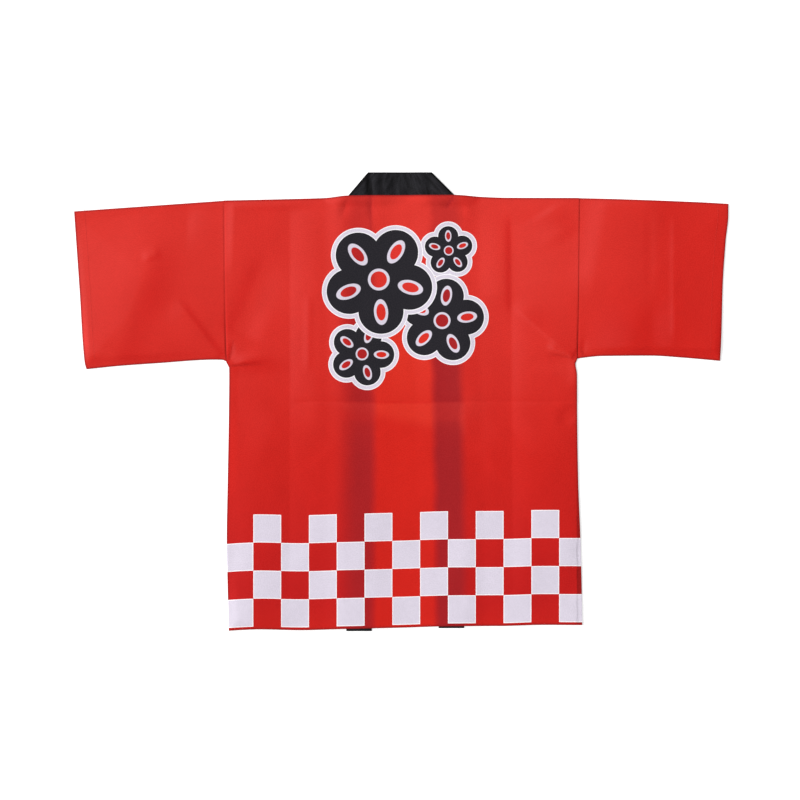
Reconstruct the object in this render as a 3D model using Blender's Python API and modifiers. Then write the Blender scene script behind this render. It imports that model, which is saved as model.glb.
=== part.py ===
"""A happi coat laid flat with its back up, in metres, +Z up.

X runs from the wearer's left cuff to the right one and Y from the hem to the
collar. The origin is under the middle of the coat's box. The two fronts and the
lower halves of the sleeves lie on the surface, with the collar band beside the
fronts, and the back and the upper halves of the sleeves lie over them.
"""

import math
from collections import namedtuple

import bmesh
import bpy

MM = 0.001

# Cloth, in mm
CLOTH = 1.2  # one ply
COLLAR_CLOTH = 2.4  # the collar is folded, so two plies
SEAM = 0.3  # between two pieces, and between two plies that touch

# Collar, in mm
COLLAR_WIDTH = 46.0
COLLAR_SEAM_Y = 367.1  # the collar's sewn edge behind the neck
COLLAR_HIDDEN = 0.6  # how far the back's cover of the collar is kept level past that edge
NECK_FOLD_X = (-49.9, 51.9)  # where the two 45 degree folds meet the collar's free edge
NECK_SLACK = 44.0  # length over which the band sinks from a fold to the surface
NECK_LEVEL_X = 48.0  # the band stays at the folds' height outside this

# Air between the plies, in mm
LOFT = 2.2
LOFT_REACH = 20.0  # how far in from an edge the loft takes to build up
OPENING_FADE = 55.0  # the loft fades out over this length towards the open front
DRAPE_REACH = 15.0  # how far the back takes to come down from the collar
SINK_REACH = 34.0  # the same inside the open front, where it comes down to the surface

RIM_SHARE = 0.15  # how much of a fold's height is left at an edge that it runs over

FRONT_HEM_UP = 1.0  # the fronts' hems are this much shorter than the back's

# Outlines, in mm. Each row is one point: the first number is where along the
# edge it is (x, or y for a side, seam or cuff), the second is the edge's place.
SHOULDER_Y = (
    (-320.0, 361.9),
    (-200.0, 364.6),
    (-135.0, 366.6),
    (-96.0, 370.6),
    (0.0, 371.6),
    (96.0, 371.7),
    (146.0, 368.4),
    (190.0, 366.9),
    (321.0, 366.6),
)
HEM_Y = (
    (-314.0, -413.2),
    (-286.0, -411.3),
    (-255.0, -410.3),
    (-182.0, -411.8),
    (-103.0, -409.6),
    (0.0, -407.2),
    (90.0, -404.6),
    (180.0, -404.2),
    (255.0, -402.2),
    (326.0, -402.6),
)
SIDE_X = {
    "left": (
        (-413.2, -310.5),
        (-331.0, -312.6),
        (-250.0, -314.2),
        (-141.0, -312.4),
        (-33.0, -310.5),
        (48.0, -309.8),
        (61.0, -310.0),
        (72.0, -315.2),
        (361.9, -319.6),
    ),
    "right": (
        (-402.6, 326.0),
        (-331.0, 325.0),
        (-250.0, 322.8),
        (-141.0, 318.7),
        (-33.0, 316.9),
        (48.0, 316.6),
        (69.0, 313.8),
        (77.0, 317.0),
        (366.9, 320.5),
    ),
}
ARMHOLE_Y = {"left": 72.0, "right": 77.0}  # below this a side is the coat's edge
SLEEVE_TOP_Y = {
    "left": ((-589.4, 342.8), (-438.0, 353.6), (-319.6, 361.9)),
    "right": ((320.5, 366.6), (384.0, 365.0), (535.0, 359.4), (589.4, 356.4)),
}
SLEEVE_BOTTOM_Y = {
    "left": (
        (-567.0, 58.2),
        (-510.0, 64.0),
        (-438.0, 69.2),
        (-336.0, 75.4),
        (-323.0, 75.2),
        (-315.2, 72.0),
    ),
    "right": (
        (317.0, 77.0),
        (326.0, 78.6),
        (362.0, 82.0),
        (448.0, 82.6),
        (513.0, 78.6),
        (574.4, 73.2),
    ),
}
CUFF_X = {
    "left": (
        (58.2, -567.0),
        (71.0, -570.4),
        (200.0, -579.3),
        (342.8, -589.4),
    ),
    "right": (
        (73.2, 574.4),
        (129.0, 576.9),
        (210.0, 579.2),
        (290.0, 584.6),
        (336.0, 589.3),
        (356.4, 589.4),
    ),
}
# How far each front run of the collar strays from straight, outward from x.
BAND_DRIFT = {
    "left": ((-413.0, 0.0), (-200.0, 0.6), (-40.0, 1.8), (180.0, 1.0), (330.0, 0.0)),
    "right": ((-413.0, 12.5), (-200.0, 9.0), (-40.0, 6.0), (180.0, 2.0), (330.0, 0.0)),
}
BAND_END_Y = {"left": -413.6, "right": -408.2}

# The largest folds of the upper cloth, in mm. width is the half width, height is
# up, fade is the length over which each end dies out, and a crease has a sharp
# middle where a roll is round.
CREASE_POWER = 1.2
ROLL_POWER = 2.0
Fold = namedtuple("Fold", "note start end width height crease fade")
FOLDS = (
    Fold("left packing crease", (-201, 352), (-201, -415), 10, -2.0, True, (30, 0)),
    Fold("bank right of it", (-183, 330), (-185, 40), 14, 0.9, False, (50, 90)),
    Fold("right packing crease", (199, 352), (202, -415), 10, -2.0, True, (30, 0)),
    Fold("bank right of it", (216, 170), (217, -230), 14, 0.9, False, (60, 120)),
    Fold("level packing crease", (-198, 0), (316, 0), 8, -0.8, True, (30, 20)),
    Fold("left armhole roll", (-303, 356), (-302, 186), 9, 1.3, False, (20, 60)),
    Fold("left underarm puff", (-272, 112), (-236, 206), 22, 1.9, False, (30, 40)),
    Fold("left underarm pull", (-311, 63), (-236, 66), 7, -2.2, True, (0, 40)),
    Fold("roll above the pull", (-300, 82), (-238, 82), 11, 1.6, False, (16, 34)),
    Fold("right underarm pull", (310, 84), (214, 172), 8, 1.4, True, (0, 50)),
    Fold("right underarm tuck", (306, 79), (262, 102), 6, 1.3, True, (8, 30)),
    Fold("right hip dip", (300, -18), (268, -30), 15, -1.2, False, (10, 20)),
    Fold("left tent, high side", (-428, 262), (-512, 104), 34, 3.4, False, (24, 60)),
    Fold("left tent, ridge", (-424, 258), (-392, 190), 10, 1.3, True, (10, 30)),
    Fold("left tent, low side", (-410, 186), (-328, 84), 8, -2.4, True, (26, 14)),
    Fold("left sleeve dip", (-352, 350), (-350, 270), 26, -0.9, False, (10, 40)),
    Fold("right armhole roll", (366, 350), (340, 158), 21, 2.0, False, (20, 70)),
    Fold("right sleeve dip", (454, 344), (453, 90), 9, -1.0, False, (40, 20)),
    Fold("right sleeve rib", (488, 344), (488, 112), 7, 0.9, True, (40, 40)),
    Fold("right sleeve low dip", (459, 150), (455, 92), 14, -1.1, False, (30, 10)),
    Fold("right underarm dip", (336, 132), (332, 88), 8, -1.4, True, (30, 8)),
    Fold("roll below the middle", (-46, -46), (60, -48), 15, 1.1, False, (16, 16)),
)

# Where the grids' lines go. Fractions of the span between two anchors.
BACK_SPANS = (
    (0.0, 0.07, 0.18, 0.32, 0.46, 0.6, 0.75, 0.89),  # side to packing crease
    (0.0, 0.13, 0.3, 0.5, 0.7, 0.88),  # crease to the collar band
    (0.0, 0.5),  # across the band
    (0.0, 0.12, 0.25, 0.38, 0.5, 0.62, 0.75, 0.88),  # across the open front
    (0.0, 0.5),
    (0.0, 0.12, 0.3, 0.5, 0.7, 0.87),
    (0.0, 0.11, 0.25, 0.4, 0.54, 0.68, 0.82, 0.93, 1.0),
)
# Rows of the back, in mm down from the shoulder line.
BACK_ROWS = (
    0, 4.9, 13, 26, 45, 70, 100, 130, 160, 190, 218, 243, 264, 280, 290, 297, 304,
    312, 324, 342, 360, 369, 378, 396, 417, 445, 485, 525, 565, 605, 645, 685, 725,
    755, 770, 777,
)  # fmt: skip
FRONT_ACROSS = (0.0, 0.25, 0.5, 0.75, 1.0)
SLEEVE_ALONG = (
    0.0, 0.03, 0.08, 0.14, 0.2, 0.27, 0.34, 0.41, 0.48, 0.54, 0.6, 0.66, 0.72, 0.79,
    0.86, 0.92, 0.97, 1.0,
)  # fmt: skip
SLEEVE_UPPER = (
    0.004, 0.02, 0.05, 0.1, 0.16, 0.22, 0.28, 0.34, 0.4, 0.47, 0.54, 0.61, 0.68,
    0.75, 0.82, 0.88, 0.93, 0.97, 1.0,
)  # fmt: skip
SLEEVE_LOWER = (0.004, 0.1, 0.3, 0.55, 0.8, 1.0)
FOLD_STEPS = 5  # facets round a sleeve's top fold
NECK_STEPS = 6  # facets round a fold of the collar
COLLAR_ACROSS = (0.0, 0.33, 0.67, 1.0)
COLLAR_NECK = (0.0, 0.12, 0.22, 0.32, 0.42, 0.52, 0.64, 0.76, 0.88)  # middle to fold
COLLAR_RUN = (0.08, 0.16, 0.24, 0.32, 0.4, 0.48, 0.56, 0.64, 0.72, 0.8, 0.9, 1.0)
COLLAR_SQUARE_BY = 0.16  # the grid's lines turn square to a front run by this part of it
SLEEVE_DEPTH = 290.0  # first guess at a sleeve's depth, which its edges then correct

RED = (0.62, 0.021, 0.014, 1.0)
BLACK = (0.019, 0.018, 0.021, 1.0)


# Small mathematics


def curve(points):
    """A smooth curve through rising (place, value) points, level past its ends."""
    steps = [
        (b[1] - a[1]) / (b[0] - a[0]) for a, b in zip(points, points[1:], strict=False)
    ]
    slopes = [steps[0]]
    for before, after in zip(steps, steps[1:], strict=False):
        same_way = before * after > 0
        slopes.append(2 * before * after / (before + after) if same_way else 0.0)
    slopes.append(steps[-1])

    def value(place):
        place = min(max(place, points[0][0]), points[-1][0])
        i = 0
        while place > points[i + 1][0]:
            i += 1
        (x0, y0), (x1, y1) = points[i], points[i + 1]
        width = x1 - x0
        t = (place - x0) / width
        bend = slopes[i] * (1 - t) ** 2 * t - slopes[i + 1] * t**2 * (1 - t)
        return y0 + (y1 - y0) * t * t * (3 - 2 * t) + width * bend

    return value


def smooth(t):
    """0 to 1 with level ends."""
    t = min(max(t, 0.0), 1.0)
    return t * t * (3 - 2 * t)


def mix(a, b, t):
    return a + (b - a) * t


# Edges of the coat, from the tables

shoulder_y = curve(SHOULDER_Y)
hem_y = curve(HEM_Y)
side_x = {side: curve(rows) for side, rows in SIDE_X.items()}
cuff_x = {side: curve(rows) for side, rows in CUFF_X.items()}
sleeve_top_y = {side: curve(rows) for side, rows in SLEEVE_TOP_Y.items()}
sleeve_bottom_y = {side: curve(rows) for side, rows in SLEEVE_BOTTOM_Y.items()}
band_drift = {side: curve(rows) for side, rows in BAND_DRIFT.items()}

# The collar folds under itself: its two levels are one cloth and one seam apart.
NECK_RADIUS = (COLLAR_CLOTH + SEAM) / 2
LOW_LEVEL = COLLAR_CLOTH / 2
HIGH_LEVEL = LOW_LEVEL + 2 * NECK_RADIUS
# The turn of a fold takes up cloth, which moves the run under it outward.
FOLD_SHIFT = math.pi * NECK_RADIUS / math.sqrt(2)


def sign(side):
    return -1 if side == "left" else 1


def band_seam_x(side, y):
    """The sewn edge of the collar's run down one front."""
    fold = NECK_FOLD_X[0] if side == "left" else NECK_FOLD_X[1]
    straight = fold + sign(side) * (COLLAR_WIDTH + FOLD_SHIFT)
    drift = band_drift[side](y)
    return straight + drift


def band_free_x(side, y):
    """Its folded edge, towards the open front."""
    return band_seam_x(side, y) - sign(side) * COLLAR_WIDTH


# Height of the upper cloth's underside


def stand_level(x):
    """Middle of the collar's thickness behind the neck: high at its two folds."""
    sunk = smooth((NECK_LEVEL_X - abs(x)) / NECK_SLACK)
    return mix(HIGH_LEVEL, LOW_LEVEL, sunk)


def cover_height(x, y):
    """What the back and the sleeves' upper halves rest on, with a seam's gap."""
    side = "left" if x < 0 else "right"
    on_front = CLOTH + SEAM
    on_band = COLLAR_CLOTH + SEAM
    outside = sign(side) * (x - band_seam_x(side, y)) - 2 * SEAM
    inside = sign(side) * (band_free_x(side, y) - x)
    if outside > 0:
        height = mix(on_band, on_front, smooth(outside / DRAPE_REACH))
    else:
        height = mix(on_band, 0.0, smooth(inside / SINK_REACH))
    past = max(outside, 0.0)
    below = max(COLLAR_SEAM_Y - COLLAR_HIDDEN - y, 0.0)
    on_stand = stand_level(x) + COLLAR_CLOTH / 2 + SEAM
    away = math.hypot(past, below) / DRAPE_REACH
    return max(height, on_stand * (1 - smooth(away)))


def rim_distance(x, y):
    """How far a point of the upper cloth is in from the coat's closed and open edges."""
    side = "left" if x < 0 else "right"
    out = sign(side) * x
    armhole = abs(side_x[side](ARMHOLE_Y[side]))
    if out > armhole:
        top = sleeve_top_y[side](x) - y
        under = y - sleeve_bottom_y[side](x)
        cuff = sign(side) * (cuff_x[side](y) - x)
        return max(min(top, under, cuff), 0.0)
    top = shoulder_y(x) - y
    hem = y - hem_y(x)
    if y < ARMHOLE_Y[side]:
        edge = sign(side) * (side_x[side](y) - x)
    else:
        edge = math.hypot(armhole - out, y - ARMHOLE_Y[side])
    return max(min(top, hem, edge), 0.0)


def fold_height(fold, x, y):
    """One fold's rise at a point: its section, faded out towards its two ends."""
    (x0, y0), (x1, y1) = fold.start, fold.end
    length = math.hypot(x1 - x0, y1 - y0)
    along = ((x - x0) * (x1 - x0) + (y - y0) * (y1 - y0)) / length
    across = ((x - x0) * (y1 - y0) - (y - y0) * (x1 - x0)) / length
    if not 0 <= along <= length:
        return 0.0
    power = CREASE_POWER if fold.crease else ROLL_POWER
    section = math.exp(-((abs(across) / fold.width) ** power))
    first = smooth(along / fold.fade[0]) if fold.fade[0] else 1.0
    last = smooth((length - along) / fold.fade[1]) if fold.fade[1] else 1.0
    return fold.height * section * first * last


def upper_height(x, y):
    """Underside of the upper cloth: its cover, the air under it and its folds."""
    rim = rim_distance(x, y)
    built_up = 1 - math.exp(-rim / LOFT_REACH)
    side = "left" if x < 0 else "right"
    from_opening = sign(side) * (x - band_free_x(side, y))
    loft = LOFT * built_up * smooth(from_opening / OPENING_FADE)
    folds = sum(fold_height(fold, x, y) for fold in FOLDS)
    return cover_height(x, y) + max(loft + folds * smooth(rim / LOFT_REACH + RIM_SHARE), 0.0)


# Meshes


def cloth_object(name, rows, thickness, offset, colour, collection):
    """A named sheet through rows of points in mm, given its thickness by Solidify."""
    mesh = bpy.data.meshes.new(name)
    bm = bmesh.new()
    grid = [[bm.verts.new([c * MM for c in point]) for point in row] for row in rows]
    for row, next_row in zip(grid, grid[1:], strict=False):
        for i in range(len(row) - 1):
            bm.faces.new((row[i], row[i + 1], next_row[i + 1], next_row[i]))
    bm.to_mesh(mesh)
    bm.free()
    mesh.shade_smooth()
    sheet = bpy.data.objects.new(name, mesh)
    collection.objects.link(sheet)
    wall = sheet.modifiers.new("wall", "SOLIDIFY")
    wall.thickness = thickness * MM
    wall.offset = offset
    wall.use_even_offset = True
    wall.use_quality_normals = True
    mesh.materials.append(cloth_material(name, colour))
    return sheet


def cloth_material(name, colour):
    material = bpy.data.materials.new(name + "_cloth")
    material.use_nodes = True
    shader = material.node_tree.nodes["Principled BSDF"]
    shader.inputs["Base Color"].default_value = colour
    shader.inputs["Roughness"].default_value = 0.85
    shader.inputs["Metallic"].default_value = 0.0
    return material


# Pieces


def back_columns(y, inset):
    """The x of every column of the back at one height, side edge to side edge."""
    gap = 2 * SEAM  # the band's fold bulges a little past its sewn edge
    anchors = (
        side_x["left"](y) + inset,
        FOLDS[0].start[0],
        band_seam_x("left", y) - gap,
        band_free_x("left", y),
        band_free_x("right", y),
        band_seam_x("right", y) + gap,
        FOLDS[2].end[0],
        side_x["right"](y) - inset,
    )
    columns = []
    for i, span in enumerate(BACK_SPANS):
        columns += [mix(anchors[i], anchors[i + 1], part) for part in span]
    return columns


def back(collection):
    """The back panel, from the shoulder line to the hem, over all else."""
    rows = []
    count = len(back_columns(0, 0))
    for down in BACK_ROWS:
        part = down / BACK_ROWS[-1]
        row = []
        for i in range(count):
            y = mix(SHOULDER_Y[4][1], HEM_Y[5][1], part)
            for _ in range(3):  # x and y depend a little on each other
                x = back_columns(y, SEAM / 2)[i]
                y = mix(shoulder_y(x), hem_y(x), part)
            row.append((x, y, upper_height(x, y)))
        rows.append(row[::-1])
    return cloth_object("back", rows, CLOTH, 1, RED, collection)


def front(side, collection):
    """A front panel, flat on the surface from its side edge to the collar."""
    rows = []
    for down in BACK_ROWS:
        part = down / BACK_ROWS[-1]
        row = []
        for across in FRONT_ACROSS:
            y = mix(SHOULDER_Y[0][1], HEM_Y[5][1], part)
            for _ in range(3):
                outer = side_x[side](y) - sign(side) * SEAM / 2
                inner = band_seam_x(side, y) + sign(side) * 2 * SEAM
                x = mix(outer, inner, across)
                y = mix(shoulder_y(x), hem_y(x) + FRONT_HEM_UP, part)
            row.append((x, y, 0.0))
        rows.append(row if side == "right" else row[::-1])
    return cloth_object(f"{side}_front", rows, CLOTH, 1, RED, collection)


def sleeve_point(side, along, down):
    """x and y on a sleeve: along from seam to cuff, down from fold to underarm."""
    top, bottom = ARMHOLE_Y[side] + SLEEVE_DEPTH, ARMHOLE_Y[side]
    y = mix(top, bottom, down)
    for _ in range(4):
        seam = side_x[side](max(y, bottom)) + sign(side) * SEAM / 2
        x = mix(seam, cuff_x[side](y), along)
        y = mix(sleeve_top_y[side](x) - CLOTH, sleeve_bottom_y[side](x), down)
    return x, y


def sleeve(side, collection):
    """One sheet folded along the sleeve's top: the inner faces of both halves."""
    rows = []
    for along in SLEEVE_ALONG:
        lower = [sleeve_point(side, along, down) for down in SLEEVE_LOWER[::-1]]
        upper = [sleeve_point(side, along, down) for down in SLEEVE_UPPER]
        row = [(x, y, CLOTH) for x, y in lower]
        fold_x, fold_y = upper[0]
        radius = (upper_height(fold_x, fold_y) - CLOTH) / 2
        for step in range(1, FOLD_STEPS):
            angle = math.pi * step / FOLD_STEPS
            y = fold_y + radius * math.sin(angle)
            row.append((fold_x, y, CLOTH + radius * (1 - math.cos(angle))))
        row += [(x, y, upper_height(x, y)) for x, y in upper]
        rows.append(row)
    if side == "left":
        rows.reverse()
    return cloth_object(f"{side}_sleeve", rows, CLOTH, 1, RED, collection)


def folded_band_point(s, w):
    """A point of the collar's middle layer: s along it from the neck's middle and w
    in from its sewn edge, with the 45 degree fold on that side turned under."""
    side = "left" if s < 0 else "right"
    way = sign(side)
    fold = NECK_FOLD_X[0] if side == "left" else NECK_FOLD_X[1]
    x, y = s, COLLAR_SEAM_Y + w
    # Distance past the fold line, which runs out and down from the free edge.
    past = (way * (x - fold) + (y - COLLAR_SEAM_Y - COLLAR_WIDTH)) / math.sqrt(2)
    if past <= 0:
        return x, y, stand_level(x)
    turn = min(past / NECK_RADIUS, math.pi)
    under = past - turn * NECK_RADIUS
    reach = NECK_RADIUS * math.sin(turn) - under
    move = (reach - past) / math.sqrt(2)
    level = HIGH_LEVEL - NECK_RADIUS * (1 - math.cos(turn))
    x, y = x + way * move, y + move
    if turn == math.pi:
        x += band_drift[side](y)
    return x, y, level


def collar_stations():
    """Lines across the band, as places along its sewn and free edges, in order."""
    lines = []
    for side in ("left", "right"):
        way = sign(side)
        fold = abs(NECK_FOLD_X[0] if side == "left" else NECK_FOLD_X[1])
        half = []
        for part in COLLAR_NECK:
            half.append((part * (fold + COLLAR_WIDTH), part * fold))
        for step in range(NECK_STEPS + 1):  # round the fold
            turned = math.sqrt(2) * math.pi * NECK_RADIUS * step / NECK_STEPS
            half.append((fold + COLLAR_WIDTH + turned, fold + turned))
        turned_seam, turned_free = half[-1]
        # Under the fold s grows downwards: y falls as much as s grows.
        run = folded_band_point(way * turned_free, COLLAR_WIDTH)[1] - BAND_END_Y[side]
        for part in COLLAR_RUN:
            square = smooth(part / COLLAR_SQUARE_BY)
            free = turned_free + part * run
            slant = (turned_seam - turned_free) * (1 - square)
            half.append((free + slant, free))
        half = [(way * seam, way * free) for seam, free in half]
        lines = half[:0:-1] if side == "left" else lines + half
    return lines


def collar(collection):
    """The whole band: down one front, round the neck and down the other front."""
    rows = []
    for seam, free in collar_stations():
        row = []
        for across in COLLAR_ACROSS:
            s = mix(seam, free, across)
            row.append(folded_band_point(s, across * COLLAR_WIDTH))
        rows.append(row)
    return cloth_object("collar", rows, COLLAR_CLOTH, 0, BLACK, collection)


def main():
    for old in list(bpy.data.objects):
        bpy.data.objects.remove(old, do_unlink=True)
    collection = bpy.data.collections.new("happi_coat")
    bpy.context.scene.collection.children.link(collection)
    back(collection)
    for side in ("left", "right"):
        front(side, collection)
        sleeve(side, collection)
    collar(collection)


main()
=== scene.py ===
"""The looks of a happi coat that lies flat with its back up.

Each piece of cloth is a thin shell on the form of its solid. The tables and the
functions are in mm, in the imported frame: X runs from the wearer's left cuff to the
right one, Y from the hem to the collar and Z up. Only the meshes are in metres.
"""

import math
from collections import namedtuple

import bmesh
import bpy
import numpy as np
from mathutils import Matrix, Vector, noise

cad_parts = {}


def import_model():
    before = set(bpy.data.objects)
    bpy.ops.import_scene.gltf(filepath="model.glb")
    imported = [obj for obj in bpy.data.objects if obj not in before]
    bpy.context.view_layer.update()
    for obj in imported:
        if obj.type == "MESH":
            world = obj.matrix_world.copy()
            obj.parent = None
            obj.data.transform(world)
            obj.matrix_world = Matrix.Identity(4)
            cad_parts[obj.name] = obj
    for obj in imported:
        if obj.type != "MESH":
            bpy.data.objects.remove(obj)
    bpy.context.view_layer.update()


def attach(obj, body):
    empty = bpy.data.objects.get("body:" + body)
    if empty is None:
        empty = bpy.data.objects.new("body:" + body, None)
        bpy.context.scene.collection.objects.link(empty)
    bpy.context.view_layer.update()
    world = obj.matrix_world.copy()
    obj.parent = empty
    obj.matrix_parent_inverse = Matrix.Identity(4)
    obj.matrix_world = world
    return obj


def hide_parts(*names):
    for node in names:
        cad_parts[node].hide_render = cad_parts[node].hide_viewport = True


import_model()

MM = 0.001
SIDES = ("left", "right")

# Sizes of the solids, in mm, as in the part's source
CLOTH = 1.2
COLLAR_CLOTH = 2.4
SEAM = 0.3
COLLAR_WIDTH = 46.0
COLLAR_SEAM_Y = 367.1
COLLAR_HIDDEN = 0.6
NECK_FOLD_X = {"left": -49.9, "right": 51.9}
NECK_SLACK = 44.0
CORNER_EASE = -7.0  # how far the stand's left top corner leans out
CORNER_EASE_X = (-30.0, 28.0)  # where that starts, and over which length it grows
NECK_LEVEL_X = 48.0
FOLD_REACH = {"left": 20.0, "right": 34.0}  # a fold reaches its height so far in from a rim
RIM_SHARE = {"left": 0.15, "right": 0.48}
FRONT_HEM_UP = 1.0

# Outlines, in mm: where along the edge, and the edge's place there
SHOULDER_Y = (
    (-320, 361.9), (-200, 364.6), (-135, 366.6), (-96, 370.6), (0, 371.6), (96, 371.7),
    (146, 368.4), (190, 366.9), (321, 366.6),
)
HEM_Y = (
    (-314, -413.2), (-286, -411.3), (-255, -410.3), (-182, -411.8), (-103, -409.6),
    (0, -407.2), (90, -404.6), (180, -404.2), (255, -402.2), (326, -402.6),
)
SIDE_X = {
    "left": (
        (-413.2, -310.5), (-331, -312.6), (-250, -314.2), (-141, -312.4),
        (-33, -310.5), (48, -309.8), (61, -310), (72, -315.2), (361.9, -319.6),
    ),
    "right": (
        (-402.6, 326), (-331, 325), (-250, 322.8), (-141, 318.7), (-33, 316.9),
        (48, 316.6), (69, 313.8), (77, 317), (366.9, 320.5),
    ),
}
ARMHOLE_Y = {"left": 72.0, "right": 77.0}
SLEEVE_DEPTH = 290.0
MID_SLEEVE_Y = 200.0
SLEEVE_TOP_Y = {
    "left": ((-589.4, 342.8), (-438, 353.6), (-319.6, 361.9)),
    "right": ((320.5, 366.6), (384, 365), (535, 359.4), (589.4, 356.4)),
}
SLEEVE_BOTTOM_Y = {
    "left": (
        (-567, 58.2), (-510, 64), (-438, 69.2), (-336, 75.4), (-323, 75.2),
        (-315.2, 72),
    ),
    "right": ((317, 77), (326, 78.6), (362, 82), (448, 82.6), (513, 78.6), (574.4, 73.2)),
}
CUFF_X = {
    "left": ((58.2, -567), (71, -570.4), (200, -579.3), (342.8, -589.4)),
    "right": (
        (73.2, 574.4), (129, 576.9), (210, 579.2), (290, 584.6), (336, 589.3),
        (356.4, 589.4),
    ),
}
BAND_DRIFT = {
    "left": ((-413, 0), (-200, 0.6), (-40, 1.8), (180, 1), (330, 0)),
    "right": ((-413, 12.5), (-200, 9), (-40, 6), (180, 2), (330, 0)),
}
BAND_END_Y = {"left": -413.6, "right": -408.2}

# Folds of the upper cloth, in mm. sides are the half widths on the right and on the
# left hand of the way from start to end, height is up, fade is the length over which
# each end dies out, and a crease has a sharp middle where a roll is round.
CREASE_POWER = 1.2
ROLL_POWER = 2.0
Fold = namedtuple("Fold", "note start end sides height crease fade")
FOLDS = (
    # Back
    Fold("left packing crease", (-201, 356), (-201, 0), (110, 24), -1.5, True, (16, 60)),
    Fold("the same, lower", (-201, 60), (-202, -440), (110, 22), -1.4, True, (60, 260)),
    Fold("right packing crease", (197, 345), (198, 150), (12, 44), -0.85, True, (30, 40)),
    Fold("beside the right crease", (184, 345), (187, 130), (30, 10), 0.6, False, (60, 70)),
    Fold("the same, lower", (198, 200), (201, -440), (110, 21), -1.3, True, (46, 260)),
    Fold("level packing crease", (-199, 0), (317, 0), (5, 5), -0.6, True, (30, 20)),
    Fold("beside the left crease", (-167, 200), (-168, 45), (7, 7), 0.35, False, (30, 30)),
    Fold("left armhole roll", (-299, 368), (-303, 190), (13, 70), 1.4, False, (8, 120)),
    Fold("left armhole valley", (-232, 280), (-300, 112), (22, 40), -1.5, False, (70, 20)),
    Fold("puff beside it", (-228, 176), (-268, 92), (22, 20), 0.35, False, (40, 36)),
    Fold("left underarm pull", (-311, 70), (-222, 76), (4, 12), 1.5, False, (30, 56)),
    Fold("left armhole tuck", (-302, 110), (-311, 76), (3, 3), -0.8, True, (16, 2)),
    Fold("the same, second", (-299, 100), (-309, 76), (3, 3), -0.4, True, (16, 2)),
    Fold("left hip, flank", (-212, -6), (-276, -190), (40, 70), 1.5, False, (50, 60)),
    Fold("the same, lower", (-266, -120), (-274, -430), (40, 70), 1.4, False, (80, 0)),
    Fold("left of the band", (-118, -71), (-161, -129), (10, 12), 0.3, False, (16, 16)),
    Fold("right shoulder dip", (262, 350), (300, 288), (36, 22), 0.8, False, (14, 24)),
    Fold("right underarm pull", (198, 176), (312, 78), (5, 16), 0.5, True, (30, 10)),
    Fold("right underarm tuck", (261, 102), (313, 80), (5, 9), 1.1, True, (16, 6)),
    Fold("right side, under it", (297, 88), (291, 18), (30, 20), -1.2, False, (10, 30)),
    Fold("right hip dip", (322, -12), (278, -40), (13, 13), -1.8, False, (0, 30)),
    Fold("right hip, flank", (280, -30), (218, -206), (56, 62), 1.4, False, (40, 70)),
    Fold("the same, lower", (226, -130), (222, -430), (44, 66), 0.6, False, (80, 0)),
    Fold("right of the band", (131, -108), (205, -49), (50, 30), 1, False, (30, 30)),
    # Left sleeve
    Fold("tent, high side", (-434, 318), (-528, 66), (110, 42), 3, False, (84, 30)),
    Fold("tent, brow", (-468, 255), (-430, 266), (5, 12), 0.7, False, (14, 14)),
    Fold("tent, low side", (-411, 190), (-326, 79), (34, 8), 1.1, False, (40, 6)),
    Fold("top dip", (-384, 366), (-388, 252), (50, 18), -1.5, True, (0, 100)),
    Fold("cuff fall", (-524, 370), (-512, 50), (70, 60), -0.9, False, (0, 0)),
    Fold("under roll", (-590, 84), (-330, 92), (15, 60), 1.8, False, (0, 120)),
    # Right sleeve
    Fold("armhole rise", (378, 380), (342, 170), (30, 84), 1.8, False, (0, 70)),
    Fold("underarm dip", (330, 120), (328, 84), (4, 5), -0.5, True, (20, 6)),
    Fold("middle dip", (448, 360), (447, 190), (9, 9), -0.25, False, (40, 30)),
    Fold("low dip", (452, 190), (450, 70), (14, 20), -0.35, False, (40, 0)),
    Fold("rib", (490, 345), (489, 105), (3, 22), 0.3, True, (40, 30)),
    Fold("cuff fall", (497, 330), (492, 60), (20, 60), 0.35, False, (80, 0)),
    Fold("under roll", (322, 100), (600, 97), (13, 60), 2.8, False, (100, 0)),
)

# Thin cloth of the shells, in mm
SHELL = 0.6  # one ply
LOFT = 2.4  # air between the plies
LOFT_REACH = {"left": 75.0, "right": 120.0}  # how far in from a rim it is built up
TIGHT_SHARE = 0.06  # of the loft, taken up by the tight roll at the rim itself
LOWEST = -0.6  # how far under its cover's level a fold may press the upper cloth
PRESS_ROUND = 0.5  # how softly it comes to rest there
OPENING_FADE = 110.0  # the loft fades out over this length towards the open front
DRAPE_REACH = 42.0  # how far the cloth takes to come down from the collar's runs
NECK_DRAPE = (60.0, 30.0)  # the same from its corners, along the shoulder and down
OPENING_SAG = 0.5  # of the cloth that bridges the open front
SINK_REACH = 40.0  # how far from the collar's runs it has come down
BAND_THICK = 1.8  # the collar's folded cloth
RIM_DROP = 0.12  # how far the upper cloth comes down to the lower one at an edge
RIM_ROUND = 3.4
CUFF_OPEN = {"left": 5.0, "right": 5.0}  # how loosely each cuff's two plies lie
NOT_OPEN = {"left": 0.0, "right": 0.0}
EDGE_ROUND = 0.75  # half the height of a folded edge
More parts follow.
